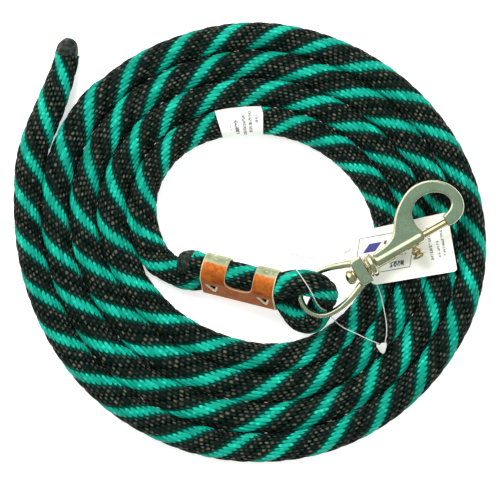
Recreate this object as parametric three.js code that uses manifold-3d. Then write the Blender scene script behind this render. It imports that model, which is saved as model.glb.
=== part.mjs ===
// Lead rope: 5/8 in solid-braid rope lying in a flat coil, with a bolt snap on a clamped
// loop at the inner end and a free tail at the outer end.
// Millimetres, +Z up, floor at z = 0, origin under the middle of the footprint.
import * as THREE from 'three';
import { mergeVertices } from 'three/addons/utils/BufferGeometryUtils.js';
import Module from 'manifold-3d';

const wasm = await Module();
wasm.setup();

const ORIGIN_SHIFT = [2.95, 1.25, 0]; // moves every piece from the drawing frame below

const MATERIALS = {
  rope: { color: 0x15805f, metalness: 0 },
  melt: { color: 0x1c1e1c, metalness: 0 },
  brass: { color: 0xb9b68a, metalness: 0.9 },
  steel: { color: 0xb87a45, metalness: 0.8 },
  bright: { color: 0xd8cfa8, metalness: 0.9 },
  paper: { color: 0xf3f3ee, metalness: 0 },
  film: { color: 0xdfe6e6, metalness: 0 },
};
const ROUGHNESS = 0.5;

// ------------------------------------------------------------------- helpers
const X_AXIS = new THREE.Vector3(1, 0, 0);
const Y_AXIS = new THREE.Vector3(0, 1, 0);
const Z_AXIS = new THREE.Vector3(0, 0, 1);
const { degToRad, radToDeg, smoothstep, clamp } = THREE.MathUtils;

const vectors = (table) => table.map((row) => new THREE.Vector3(...row));
const flatPoints = (table) => table.map((row) => new THREE.Vector2(...row));
const polygon = (table) => new THREE.Shape(flatPoints(table));

function meshGeometry(positions, indices) {
  return new THREE.BufferGeometry()
    .setAttribute('position', new THREE.Float32BufferAttribute(positions, 3))
    .setIndex(indices);
}

function toSolid(geometry) {
  const bare = new THREE.BufferGeometry()
    .setAttribute('position', geometry.attributes.position)
    .setIndex(geometry.index);
  const merged = mergeVertices(bare, 1e-4);
  return new wasm.Manifold(new wasm.Mesh({
    numProp: 3,
    vertProperties: Float32Array.from(merged.attributes.position.array),
    triVerts: Uint32Array.from(merged.index.array),
  }));
}

function toGeometry(solid) {
  const mesh = solid.getMesh();
  return meshGeometry(Array.from(mesh.vertProperties), Array.from(mesh.triVerts));
}

// Evenly spaced points on a smooth curve through the given ones.
function smoothPath(points, step) {
  const curve = new THREE.CatmullRomCurve3(points, false, 'centripetal');
  return curve.getSpacedPoints(Math.max(2, Math.round(curve.getLength() / step)));
}

// Closed tube along a path. `radius` is a number or a function of (0..1 along the path,
// point, index) giving the radius to the corners. A corner pair straddles `up` at the start.
const DOME_RINGS = 3;
const DOME_HEIGHT = 0.62; // of the end radius
function sweep(path, radius, sides, { up = Z_AXIS, domeEnd = false } = {}) {
  const last = path.length - 1;
  const radiusAt = typeof radius === 'function' ? radius : () => radius;
  const tangents = path.map((_, i) => path[Math.min(i + 1, last)].clone()
    .sub(path[Math.max(i - 1, 0)]).normalize());
  const positions = [];
  const indices = [];
  let ringCount = 0;
  const addRing = (centre, tangent, normal, ringRadius) => {
    const binormal = tangent.clone().cross(normal);
    for (let k = 0; k < sides; k++) {
      const angle = ((k + 0.5) / sides) * 2 * Math.PI;
      positions.push(...centre.clone()
        .addScaledVector(normal, ringRadius * Math.cos(angle))
        .addScaledVector(binormal, ringRadius * Math.sin(angle)));
    }
    ringCount++;
  };

  // carry the normal along the path with the least twist
  const normal = up.clone();
  path.forEach((point, i) => {
    const tangent = tangents[i];
    if (i > 0) {
      normal.applyQuaternion(new THREE.Quaternion().setFromUnitVectors(tangents[i - 1], tangent));
    }
    normal.sub(tangent.clone().multiplyScalar(normal.dot(tangent))).normalize();
    addRing(point, tangent, normal, radiusAt(i / last, point, i));
  });

  const endCentre = path[last].clone();
  if (domeEnd) {
    const endRadius = radiusAt(1, path[last], last);
    const rise = endRadius * DOME_HEIGHT;
    for (let s = 1; s <= DOME_RINGS; s++) {
      const angle = (s / (DOME_RINGS + 1)) * Math.PI / 2;
      const centre = path[last].clone().addScaledVector(tangents[last], rise * Math.sin(angle));
      addRing(centre, tangents[last], normal, endRadius * Math.cos(angle));
    }
    endCentre.addScaledVector(tangents[last], rise);
  }

  const startHub = positions.length / 3;
  const endHub = startHub + 1;
  const lastRing = (ringCount - 1) * sides;
  positions.push(...path[0], ...endCentre);
  for (let k = 0; k < sides; k++) {
    const next = (k + 1) % sides;
    for (let ring = 0; ring < lastRing; ring += sides) {
      const above = ring + sides;
      indices.push(ring + k, ring + next, above + next, ring + k, above + next, above + k);
    }
    indices.push(startHub, next, k, endHub, lastRing + k, lastRing + next);
  }
  return meshGeometry(positions, indices);
}

function sphere(centre, radius, around = 20, down = 12) {
  return toSolid(new THREE.SphereGeometry(radius, around, down)
    .rotateX(Math.PI / 2)
    .translate(...centre));
}

// Profile rows are [place along the axis, radius].
function lathe(profile, sides) {
  return new THREE.LatheGeometry(flatPoints(profile.map(([along, r]) => [r, along])), sides);
}

const latheX = (profile, sides) => toSolid(lathe(profile, sides).rotateZ(-Math.PI / 2));

function cylinderY(y0, y1, radius, sides) {
  return new THREE.CylinderGeometry(radius, radius, y1 - y0, sides)
    .translate(0, (y0 + y1) / 2, 0);
}

const boreX = (x0, x1, radius) => toSolid(cylinderY(x0, x1, radius, 24).rotateZ(-Math.PI / 2));

function box(x0, x1, y0, y1, z0, z1) {
  return toSolid(new THREE.BoxGeometry(x1 - x0, y1 - y0, z1 - z0)
    .translate((x0 + x1) / 2, (y0 + y1) / 2, (z0 + z1) / 2));
}

// Shape drawn in x and z, extruded from yStart towards -Y.
function cutterY(shape, yStart, depth) {
  const frame = new THREE.Matrix4()
    .makeBasis(X_AXIS, Z_AXIS, Y_AXIS.clone().negate())
    .setPosition(0, yStart, 0);
  return toSolid(new THREE.ExtrudeGeometry(shape, { depth, bevelEnabled: false, curveSegments: 8 })
    .applyMatrix4(frame));
}

// Upright plate with both rims bevelled inside the outline.
function bevelledPlate(shape, zBottom, height, bevel, bevelSegments) {
  return new THREE.ExtrudeGeometry(shape, {
    depth: height - 2 * bevel,
    bevelEnabled: true,
    bevelThickness: bevel,
    bevelSize: bevel,
    bevelOffset: -bevel,
    bevelSegments,
  }).translate(0, 0, zBottom + bevel);
}

// ---------------------------------------------------------------------- coil
const ROPE_R = 7.6; // to the flats in the coil and tail, to the corners in the snap end
const ROPE_SIDES = 12;
const ROPE_CORNER_R = ROPE_R / Math.cos(Math.PI / ROPE_SIDES);
const CUP_R = 8.25; // hollow in the coil end round a ball of radius ROPE_R
const CUP_BACK = 4; // the coil ends this far before the ball's centre
const COIL_Z = ROPE_R; // centreline height
const COIL_PATH_STEP = 13.2;
const COIL_STEP_DEG = 10;
const COIL_START_DEG = -20; // coil angles run clockwise from -X, seen from above
// centreline radius at every COIL_STEP_DEG, inner end first
const COIL_RADII = [
  51.7, 57.4, 61.8, 65.6, 69.1, 71.3, 72.3, 72.5, 71.8, 70.7, 69.9, 69.6, 69.7, 70.1, 70.8, 71.7,
  73.0, 74.5, 76.0, 77.1, 77.6, 77.6, 77.0, 75.8, 74.5, 73.4, 72.2, 70.7, 69.0, 67.5, 66.3, 65.8,
  66.2, 67.4, 69.0, 71.0, 73.8, 77.6, 81.7, 85.2, 87.1, 88.1, 88.7, 88.6, 87.8, 86.7, 86.0, 85.9,
  85.9, 86.1, 86.7, 87.7, 88.9, 90.4, 92.0, 93.2, 93.8, 94.0, 93.6, 92.4, 91.1, 90.2, 89.2, 87.9,
  86.5, 85.3, 84.5, 84.3, 84.7, 85.8, 87.4, 89.1, 91.5, 94.7, 98.3, 101.5, 103.4, 104.5, 105.0,
  104.7, 103.7, 102.7, 102.3, 102.2, 102.1, 102.2, 102.7, 103.6, 104.9, 106.4, 108.0, 109.3,
  110.0, 110.5, 110.1, 109.0, 107.8, 106.9, 106.1, 105.0, 104.0, 103.2, 102.8, 102.8, 103.3,
  104.3, 105.7, 107.2, 109.2, 111.8, 114.9, 117.9, 119.9, 121.1, 121.4, 120.8, 119.7, 118.7,
  118.5, 118.5, 118.3, 118.3, 118.7, 119.6, 120.8, 122.3, 124.1, 125.4, 126.2, 126.8, 126.7,
  125.5, 124.5, 123.7, 123.0, 122.3, 121.5, 121.0, 121.0, 121.2, 121.7, 122.7, 123.9, 125.0,
  126.5, 128.4, 130.9, 134.2, 138.3, 142.6, 148.1,
];
const SNAP_END_DEG = -16.2; // pivot of the snap end
const TAIL_DEG = 1451.5; // pivot of the tail

// Catmull-Rom interpolation of the radius table.
function coilRadius(degrees) {
  const place = (degrees - COIL_START_DEG) / COIL_STEP_DEG;
  const i = clamp(Math.floor(place), 0, COIL_RADII.length - 2);
  const t = place - i;
  const entry = (k) => COIL_RADII[clamp(k, 0, COIL_RADII.length - 1)];
  const [r0, r1, r2, r3] = [entry(i - 1), entry(i), entry(i + 1), entry(i + 2)];
  const cubic = 3 * (r1 - r2) + r3 - r0;
  const quadratic = 2 * r0 - 5 * r1 + 4 * r2 - r3;
  return r1 + 0.5 * t * (r2 - r0 + t * (quadratic + t * cubic));
}

function coilAt(degrees) {
  const r = coilRadius(degrees);
  const angle = degToRad(degrees);
  return new THREE.Vector3(-r * Math.cos(angle), r * Math.sin(angle), COIL_Z);
}

function coilPath(startDeg, endDeg) {
  const path = [coilAt(startDeg)];
  const stepFrom = (degrees) => radToDeg(COIL_PATH_STEP / coilRadius(degrees));
  let degrees = startDeg;
  let step = stepFrom(degrees);
  while (degrees + step * 1.4 < endDeg) { // leaves no short last step
    degrees += step;
    path.push(coilAt(degrees));
    step = stepFrom(degrees);
  }
  path.push(coilAt(endDeg));
  return path;
}

// Coil angle a straight distance away from a start angle, searched in small steps.
function coilAngleAway(startDeg, direction, distance) {
  const start = coilAt(startDeg);
  let degrees = startDeg;
  while (coilAt(degrees).distanceTo(start) < distance) degrees += direction * 0.05;
  return degrees;
}

const snapEndPivot = coilAt(SNAP_END_DEG);
const tailPivot = coilAt(TAIL_DEG);

function ropeCoil() {
  const path = coilPath(
    coilAngleAway(SNAP_END_DEG, 1, CUP_BACK),
    coilAngleAway(TAIL_DEG, -1, CUP_BACK),
  );
  return toSolid(sweep(path, ROPE_CORNER_R, ROPE_SIDES))
    .subtract(sphere(snapEndPivot, CUP_R))
    .subtract(sphere(tailPivot, CUP_R));
}

// ---------------------------------------------------------------------- tail
// centreline [x, y] after the pivot
const TAIL_POINTS = [
  [-131.4, 42.3], [-128.2, 56.8], [-120.6, 75.4], [-117.2, 84.1], [-111.4, 100.3], [-109.5, 108.4],
];
const TAIL_TAPER = 0.13; // share of the radius lost at the end
const TAIL_TAPER_FROM = 0.6; // share of the length before the taper
// melted tips: [distance past the rope's end, radius]
const TAIL_TIP = [[0.2, 6.6], [1.8, 6.2], [3.4, 5.2]];
const SHORT_END_TIP = [[0.2, 7.2], [2.6, 6.9], [5.0, 6.0]];

const tailPath = smoothPath(
  [tailPivot, ...vectors(TAIL_POINTS.map(([x, y]) => [x, y, COIL_Z]))],
  8,
);

function ropeTail() {
  const radius = (t) => ROPE_CORNER_R * (1 - TAIL_TAPER * smoothstep(t, TAIL_TAPER_FROM, 1));
  return toSolid(sweep(tailPath, radius, ROPE_SIDES)).add(sphere(tailPivot, ROPE_R));
}

function meltedTip(ropePath, stations, sides) {
  const [before, end] = ropePath.slice(-2);
  const direction = end.clone().sub(before).normalize();
  const path = stations.map(([distance]) => end.clone().addScaledVector(direction, distance));
  return sweep(path, (t, point, i) => stations[i][1], sides, { domeEnd: true });
}

// ------------------------------------------------------ snap end of the rope
// Two rope legs lie one over the other in the clamp. Its frame has its origin between
// them at mouth A, x along the legs to mouth B, y across and z from lower to upper leg.
const CLAMP_MOUTH_A = [-28.6, -18.7, 16.5];
const CLAMP_MOUTH_B = [13.6, -29.1, 25.5];
const CLAMP_TILT_DEG = 23; // roll about the clamp's length
const LEG_OFFSET = 7.35; // leg centreline from the clamp's axis
const SQUEEZED_R = 7.2; // rope radius in the clamp
const SQUEEZE_RUN = 7; // length over which the rope swells again outside a mouth
const SQUEEZE_REACH = 20; // rope further than this from the clamp's axis keeps its radius
const LEAD_IN = [[-45.2, -19.0, 7.85], [-37.4, -21.6, 8.6]];
// loop beyond mouth B, from the lower leg round to the upper
const LOOP_POINTS = [
  [23.6, -43.0, 17.5], [30.4, -47.4, 17.3], [35.6, -44.4, 17.3], [38.0, -37.6, 18.5],
  [40.0, -33.0, 23.2], [40.8, -31.4, 28.4], [38.3, -28.2, 33.9], [33.0, -25.4, 37.3],
  [26.4, -24.3, 37.9], [19.8, -25.2, 35.8],
];
const SHORT_END_SAG = new THREE.Vector3(0, 0.6, -0.2);

const [mouthA, mouthB] = vectors([CLAMP_MOUTH_A, CLAMP_MOUTH_B]);
const clampLength = mouthA.distanceTo(mouthB);
const clampAlong = mouthB.clone().sub(mouthA).normalize();
const levelSide = new THREE.Vector3(-clampAlong.y, clampAlong.x, 0).normalize();
const clampStack = clampAlong.clone().cross(levelSide).normalize()
  .multiplyScalar(Math.cos(degToRad(CLAMP_TILT_DEG)))
  .addScaledVector(levelSide, Math.sin(degToRad(CLAMP_TILT_DEG)))
  .normalize();
const clampAcross = clampStack.clone().cross(clampAlong).normalize();
const clampFrame = new THREE.Matrix4()
  .makeBasis(clampAlong, clampAcross, clampStack)
  .setPosition(mouthA);

// Points on one leg (side 1 upper, -1 lower) at distances along x from a mouth.
function legPoints(side, mouth, distances) {
  return distances.map((distance) => mouth.clone()
    .addScaledVector(clampStack, side * LEG_OFFSET)
    .addScaledVector(clampAlong, distance));
}

const snapEndPath = smoothPath([
  snapEndPivot,
  ...vectors(LEAD_IN),
  ...legPoints(-1, mouthA, [-3, 2, 14, 28]),
  ...legPoints(-1, mouthB, [-2, 3]),
  ...vectors(LOOP_POINTS),
  ...legPoints(1, mouthB, [3, -2, -14, -28]),
  ...legPoints(1, mouthA, [2, -3]),
  legPoints(1, mouthA, [-7.5])[0].add(SHORT_END_SAG),
], 6);

function ropeSnapEnd() {
  const radius = (t, point) => {
    const along = point.clone().sub(mouthA).dot(clampAlong);
    const nearest = mouthA.clone().addScaledVector(clampAlong, clamp(along, 0, clampLength));
    if (point.distanceTo(nearest) >= SQUEEZE_REACH) return ROPE_R;
    const outside = Math.max(-along, along - clampLength, 0);
    return SQUEEZED_R + (ROPE_R - SQUEEZED_R) * Math.min(outside / SQUEEZE_RUN, 1);
  };
  return toSolid(sweep(snapEndPath, radius, ROPE_SIDES)).add(sphere(snapEndPivot, ROPE_R));
}

// --------------------------------------------------------------------- clamp
const CLAMP_WALL = 1.2;
const CLAMP_GAP = 0.4; // rope to clamp
const CLAMP_INNER_R = SQUEEZED_R + CLAMP_GAP;
const SEAM_HALF = 0.3;
const WALL_CUT_Y = [3, 12]; // reaches through the +Y wall only
const NOTCH_X = [clampLength / 2 - 7.2, clampLength / 2 + 9.2];
const NOTCH_Z = { floor: 5, cornerTop: 13, top: 30 };
const NOTCH_CORNER = 7;
const PUNCHED_AT = [[6.6, 0.6], [clampLength - 6.8, 0.2]]; // [x, z]
const PUNCHED_OUTLINE = [[-2.88, 3], [2.88, 3], [1.2, -3.6]]; // [x, z] about each place

function stadiumX(radius, x0, x1) {
  const shape = new THREE.Shape();
  shape.absarc(0, LEG_OFFSET, radius, 0, Math.PI, false);
  shape.absarc(0, -LEG_OFFSET, radius, Math.PI, 2 * Math.PI, false);
  const frame = new THREE.Matrix4().makeBasis(Y_AXIS, Z_AXIS, X_AXIS).setPosition(x0, 0, 0);
  return toSolid(new THREE.ExtrudeGeometry(shape, {
    depth: x1 - x0,
    bevelEnabled: false,
    curveSegments: 14,
  }).applyMatrix4(frame));
}

function ropeClamp() {
  const [x0, x1] = NOTCH_X;
  const { floor, cornerTop, top } = NOTCH_Z;
  const notch = new THREE.Shape();
  notch.moveTo(x0, top);
  notch.lineTo(x0, cornerTop);
  notch.quadraticCurveTo(x0, floor, x0 + NOTCH_CORNER, floor);
  notch.lineTo(x1 - NOTCH_CORNER, floor);
  notch.quadraticCurveTo(x1, floor, x1, cornerTop);
  notch.lineTo(x1, top);

  // the notch opens the upper bend and runs down to the seam in the +Y wall
  let solid = stadiumX(CLAMP_INNER_R + CLAMP_WALL, 0, clampLength)
    .subtract(stadiumX(CLAMP_INNER_R, -1, clampLength + 1))
    .subtract(cutterY(notch, 12, 24))
    .subtract(box(x0, x1, ...WALL_CUT_Y, -SEAM_HALF, top))
    .subtract(box(-1, clampLength + 1, ...WALL_CUT_Y, -SEAM_HALF, SEAM_HALF));
  // three-cornered holes in the -Y wall
  for (const [x, z] of PUNCHED_AT) {
    const hole = polygon(PUNCHED_OUTLINE.map(([dx, dz]) => [x + dx, z + dz]));
    solid = solid.subtract(cutterY(hole, -4, 8));
  }
  return solid;
}

// ----------------------------------------------------------------- bolt snap
// Snap frame: x along the snap from the outermost point of the eye, z up.
const SNAP_ORIGIN = [26.1, -38.3, 27.8];
const SNAP_HEADING_DEG = 30;
const snapFrame = new THREE.Matrix4()
  .makeRotationZ(degToRad(SNAP_HEADING_DEG))
  .setPosition(...SNAP_ORIGIN);

const AXIAL_PLAY = 0.3; // at each end of the washer and of the spring
const EYE_WIRE_R = 1.8;
const EYE_WIRE_SWELL = 0.8; // extra radius where the bow meets the block
// half of the bow's centreline [x, y], from the crown
const EYE_HALF = [
  [1.8, 0], [2.55, 4.4], [5.3, 8.6], [9.8, 11.6], [15.5, 12.35],
  [22.5, 11.7], [29.5, 9.8], [35.0, 7.7], [40.0, 5.9],
];
const BLOCK_X = [36.7, 44.3];
const BLOCK_HALF_WIDTH = 8.2;
const BLOCK_HALF_HEIGHT = 5;
const BLOCK_CHAMFER = 1.6;
const BLOCK_BEVEL = 1;
const POST_R = 2.4;
const POST_BORE_R = 2.75;
const POST_SOCKET = { end: 52.5, radius: POST_R + 0.12 }; // in the hook body
const COLLAR_X = [46.3, 49.6];
const COLLAR_R = 7.2;
const BARREL_R = 3.8;
const BARREL_END = 82.5;
const SPRING_BORE = { x: 53.8, radius: 2.85 };
const GUIDE_BORE = { x: 78.5, radius: 2.45 };
const BOLT_R = 2.1;
const BOLT_SHOULDER_R = 2.6;
const BOLT_BACK = 68.9;
const BOLT_TIP = 97.6;
const BOLT_TRAVEL = 10;
const KNOB_X = 74;
const KNOB_HOLE_R = 1.15;
const SLOT_HALF_WIDTH = 1.95;
const HOOK_THICKNESS = 6.6;
const HOOK_BEVEL = 0.9;

// Open bow and bored block in one casting.
function swivelEye() {
  const bow = [
    ...EYE_HALF.map(([x, y]) => [x, -y, 0]).reverse(),
    ...EYE_HALF.slice(1).map(([x, y]) => [x, y, 0]),
  ];
  const wireRadius = (t) => EYE_WIRE_R + EYE_WIRE_SWELL * Math.abs(2 * t - 1) ** 4;
  const [x0, x1] = BLOCK_X;
  const chamferX = x0 + BLOCK_CHAMFER;
  const chamferY = BLOCK_HALF_WIDTH - BLOCK_CHAMFER;
  const block = polygon([
    [x0, -chamferY], [chamferX, -BLOCK_HALF_WIDTH], [x1, -BLOCK_HALF_WIDTH],
    [x1, BLOCK_HALF_WIDTH], [chamferX, BLOCK_HALF_WIDTH], [x0, chamferY],
  ]);
  return toSolid(sweep(smoothPath(vectors(bow), 3.8), wireRadius, 12))
    .add(toSolid(
      bevelledPlate(block, -BLOCK_HALF_HEIGHT, 2 * BLOCK_HALF_HEIGHT, BLOCK_BEVEL, 2),
    ))
    .subtract(boreX(x0 - 4, x1 + 4, POST_BORE_R));
}

const POST_PROFILE = [
  [30.4, 0], [30.5, 1.8], [31.1, 3.3], [32.2, 4.2], [33.6, 4.5], [34.9, 4.2], [35.3, 3.5],
  [36.35, 3.5], [36.35, POST_R], [51.6, POST_R], [52.2, 1.8], [52.2, 0],
];

function swivelWasher() {
  const x0 = BLOCK_X[1] + AXIAL_PLAY;
  const x1 = COLLAR_X[0] - AXIAL_PLAY;
  return latheX([
    [x0, POST_BORE_R], [x0, 5.9], [x0 + 0.4, 6.3], [x1 - 0.3, 6.3], [x1, 6.0],
    [x1, POST_BORE_R], [x0, POST_BORE_R],
  ], 28);
}

// hook edges [x, y]: inside from the barrel round to the tip, outside from the tip back
const HOOK_INSIDE = [
  [82.6, 2.8], [81.5, 5.4], [81.3, 8.4], [81.7, 11.6], [82.6, 14.2], [84.4, 16.6],
  [87.3, 18.6], [91.0, 19.8], [95.0, 19.8], [98.8, 18.7], [102.2, 16.7], [104.5, 14.2],
  [105.5, 11.2], [105.0, 8.2], [102.9, 6.0], [100.2, 4.8], [97.0, 3.9],
];
const HOOK_OUTSIDE = [
  [97.0, -2.9], [101.4, -2.9], [105.3, -1.9], [109.0, 0.5], [111.2, 3.8], [112.3, 8.0],
  [111.9, 12.7], [110.1, 17.3], [107.1, 21.4], [103.3, 24.6], [98.9, 26.7], [94.0, 27.7],
  [88.9, 27.5], [84.1, 25.9], [79.4, 23.2], [75.3, 19.9], [72.0, 16.5], [69.4, 12.9],
  [67.2, 9.8], [64.2, 7.5], [59.9, 6.1], [55.1, 5.6], [51.0, 5.3],
];
const HOOK_ROOT = [[51, -1], [82.2, -1]]; // closes the outline inside the barrel

function hookBody() {
  const edge = (table, divisions) => new THREE.SplineCurve(flatPoints(table)).getPoints(divisions);
  const outline = new THREE.Shape([
    ...flatPoints(HOOK_ROOT), ...edge(HOOK_INSIDE, 36), ...edge(HOOK_OUTSIDE, 52),
  ]);
  const hook = bevelledPlate(outline, -HOOK_THICKNESS / 2, HOOK_THICKNESS, HOOK_BEVEL, 2);
  const [collar0, collar1] = COLLAR_X;
  const barrel = latheX([
    [collar0, 0], [collar0, COLLAR_R - 0.6], [collar0 + 0.6, COLLAR_R],
    [collar1 - 0.8, COLLAR_R], [collar1, COLLAR_R - 1], [collar1 + 0.8, BARREL_R + 0.3],
    [52, BARREL_R], [BARREL_END - 2.2, BARREL_R], [BARREL_END - 0.9, BARREL_R - 0.35],
    [BARREL_END, BARREL_R - 0.95], [BARREL_END, 0],
  ], 28);
  // knob slot through the -Y wall of the barrel
  const slot = new THREE.Shape();
  slot.absarc(KNOB_X, 0, SLOT_HALF_WIDTH, -Math.PI / 2, Math.PI / 2, false);
  slot.absarc(KNOB_X - BOLT_TRAVEL, 0, SLOT_HALF_WIDTH, Math.PI / 2, 1.5 * Math.PI, false);
  return toSolid(hook).add(barrel)
    .subtract(boreX(collar0 - 2, POST_SOCKET.end, POST_SOCKET.radius))
    .subtract(boreX(SPRING_BORE.x, GUIDE_BORE.x, SPRING_BORE.radius))
    .subtract(boreX(GUIDE_BORE.x - 1, 92, GUIDE_BORE.radius))
    .subtract(boreX(96, 98.2, GUIDE_BORE.radius)) // bolt seat in the hook tip
    .subtract(cutterY(slot, 0, 8));
}

function springBolt() {
  const bolt = latheX([
    [BOLT_BACK, 0], [BOLT_BACK, 2.35], [BOLT_BACK + 0.3, BOLT_SHOULDER_R],
    [71.6, BOLT_SHOULDER_R], [71.9, BOLT_R], [BOLT_TIP - 0.7, BOLT_R], [BOLT_TIP, 1.5],
    [BOLT_TIP, 0],
  ], 24);
  const knobHole = cylinderY(-4, 0.4, KNOB_HOLE_R, 16).translate(KNOB_X, 0, 0);
  return bolt.subtract(toSolid(knobHole));
}

// [y, radius] from the outer face to the pin's end inside the bolt
const KNOB_PROFILE = [
  [-10.6, 0], [-10.6, 1.6], [-10.2, 3.2], [-9.6, 4.3], [-8.7, 4.3], [-8.2, 3.7], [-7.9, 2.4],
  [-7.5, 2.2], [-7.1, 3.0], [-6.6, 3.8], [-5.7, 3.8], [-5.2, 3.2], [-4.9, 1.6], [-2.3, 1.6],
  [-2.3, 1.05], [0.2, 1.05], [0.2, 0],
];

function thumbKnob() {
  return toGeometry(toSolid(lathe(KNOB_PROFILE, 20))).translate(KNOB_X, 0, 0);
}

const SPRING = { radius: 2.1, wireR: 0.3, turns: 7, stepsPerTurn: 8 };

function returnSpring() {
  const { radius, wireR, turns, stepsPerTurn } = SPRING;
  const x0 = SPRING_BORE.x + AXIAL_PLAY + wireR;
  const x1 = BOLT_BACK - AXIAL_PLAY - wireR;
  const steps = turns * stepsPerTurn;
  const path = [];
  for (let i = 0; i <= steps; i++) {
    const angle = (i / stepsPerTurn) * 2 * Math.PI;
    const x = x0 + (i / steps) * (x1 - x0);
    path.push(new THREE.Vector3(x, radius * Math.cos(angle), radius * Math.sin(angle)));
  }
  return sweep(path, wireR, 5, { up: X_AXIS });
}

// --------------------------------------------------------------------- label
// Printed strip lapped over the innermost turn.
const LABEL = {
  coilDeg: [72.8, 94.0],
  sectionDeg: [20, 196], // round the rope from the outward level, over the top
  innerR: ROPE_R + 0.6,
  thickness: 0.5,
  stepsAlong: 6,
  stepsAround: 10,
};

function ropeLabel() {
  const { coilDeg, sectionDeg, innerR, thickness, stepsAlong, stepsAround } = LABEL;
  const aroundStep = degToRad(sectionDeg[1] - sectionDeg[0]) / stepsAround;
  // the inner radius is held at the middle of each facet
  const radii = [innerR / Math.cos(aroundStep / 2), innerR + thickness];
  const positions = [];
  const indices = [];
  for (let i = 0; i <= stepsAlong; i++) {
    const centre = coilAt(coilDeg[0] + (coilDeg[1] - coilDeg[0]) * i / stepsAlong);
    const outward = centre.clone().setZ(0).normalize();
    for (let j = 0; j <= stepsAround; j++) {
      const angle = degToRad(sectionDeg[0]) + aroundStep * j;
      for (const r of radii) {
        positions.push(...centre.clone()
          .addScaledVector(outward, r * Math.cos(angle))
          .addScaledVector(Z_AXIS, r * Math.sin(angle)));
      }
    }
  }
  const inner = (i, j) => (i * (stepsAround + 1) + j) * 2;
  const outer = (i, j) => inner(i, j) + 1;
  const quad = (a, b, c, d) => indices.push(a, b, c, a, c, d);
  const [endI, endJ] = [stepsAlong, stepsAround];
  for (let i = 0; i < endI; i++) {
    for (let j = 0; j < endJ; j++) {
      quad(outer(i, j), outer(i, j + 1), outer(i + 1, j + 1), outer(i + 1, j));
      quad(inner(i, j), inner(i + 1, j), inner(i + 1, j + 1), inner(i, j + 1));
    }
    quad(inner(i, 0), outer(i, 0), outer(i + 1, 0), inner(i + 1, 0));
    quad(outer(i, endJ), inner(i, endJ), inner(i + 1, endJ), outer(i + 1, endJ));
  }
  for (let j = 0; j < endJ; j++) {
    quad(inner(0, j), inner(0, j + 1), outer(0, j + 1), outer(0, j));
    quad(outer(endI, j), outer(endI, j + 1), inner(endI, j + 1), inner(endI, j));
  }
  return meshGeometry(positions, indices);
}

// ------------------------------------------------------------------ hang tag
const TAG_THICKNESS = 0.4;
const TAG_SLOPE = 0.045; // fall per millimetre of x
const TAG_HOLE = [56.3, -4.6];
const TAG_HOLE_R = 1.8;
const TAG_Z = 18.3; // mid-thickness at the hole
const TAG_OUTLINE = [[48.1, 2.3], [52.2, -10.4], [69, -26.1], [117.2, -18], [111.4, 16.2]];
const TAG_CORNER = 2.2; // length of edge each rounded corner takes

function hangTag() {
  const shape = new THREE.Shape();
  const corners = flatPoints(TAG_OUTLINE);
  const count = corners.length;
  corners.forEach((corner, i) => {
    const towards = (other) => corner.clone()
      .add(other.clone().sub(corner).normalize().multiplyScalar(TAG_CORNER));
    const start = towards(corners[(i + count - 1) % count]);
    const end = towards(corners[(i + 1) % count]);
    if (i === 0) shape.moveTo(start.x, start.y);
    else shape.lineTo(start.x, start.y);
    shape.quadraticCurveTo(corner.x, corner.y, end.x, end.y);
  });
  const hole = new THREE.Path();
  hole.absarc(...TAG_HOLE, TAG_HOLE_R, 0, 2 * Math.PI, true);
  shape.holes.push(hole);
  const geometry = new THREE.ExtrudeGeometry(shape, {
    depth: TAG_THICKNESS,
    bevelEnabled: false,
    curveSegments: 5,
  });
  const position = geometry.attributes.position;
  for (let i = 0; i < position.count; i++) {
    const middleZ = TAG_Z - TAG_SLOPE * (position.getX(i) - TAG_HOLE[0]);
    position.setZ(i, position.getZ(i) - TAG_THICKNESS / 2 + middleZ);
  }
  return toSolid(geometry);
}

// -------------------------------------------------------------- tag fastener
// Plastic loop through the eye and the tag, both ends in the lock head.
const STRING_R = 0.36;
const STRING_FROM_HEAD = [
  [72.0, -60.2, 16.9], [66.2, -57.8, 16.4], [58, -53.9, 16.4], [50.5, -50.4, 17.6],
];
// x and y in the snap frame, z above the floor
const STRING_ROUND_EYE = [
  [12.6, -14.7, 22.4], [12.3, -11.7, 24.4], [11.8, -9.5, 26.4], [11.2, -8.9, 29.0],
  [9.6, -6.4, 34.6], [9.1, -1.0, 42.2], [9.6, 5.4, 46.9], [9.3, 11.4, 46.7],
];
const STRING_TO_HEAD = [
  [24.9, -18.6, 44.0], [19.6, -12.2, 38.4], [17.2, -8.4, 30.5], [21.5, -8.2, 25.6],
  [30, -10.6, 22.2], [42, -9.6, 20.6], [50.5, -7.2, 19.9], [54.6, -5.6, 19.4],
  [...TAG_HOLE, TAG_Z], [57.6, -5.6, 17.1], [61.5, -11.5, 16.4], [67.6, -20.6, 16.25],
  [71.5, -27.8, 16.2], [74.8, -40.6, 16.35], [76.4, -52.5, 16.5], [75.2, -59.6, 16.9],
];

function fastenerLoop() {
  const roundEye = STRING_ROUND_EYE
    .map(([x, y, z]) => new THREE.Vector3(x, y, 0).applyMatrix4(snapFrame).setZ(z));
  const points = [...vectors(STRING_FROM_HEAD), ...roundEye, ...vectors(STRING_TO_HEAD)];
  return sweep(smoothPath(points, 3.8), STRING_R, 5);
}

const HEAD_OUTLINE = [
  [-2.9, 1.9], [2.9, 2.1], [3.2, 0.5], [1.6, -3.4], [0.2, -4.6], [-1.4, -3.3], [-3.1, 0.2],
];
const HEAD = { x: 73.4, y: -61.6, bottom: 15.5, height: 3, bevel: 0.4, turnDeg: 8 };

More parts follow.
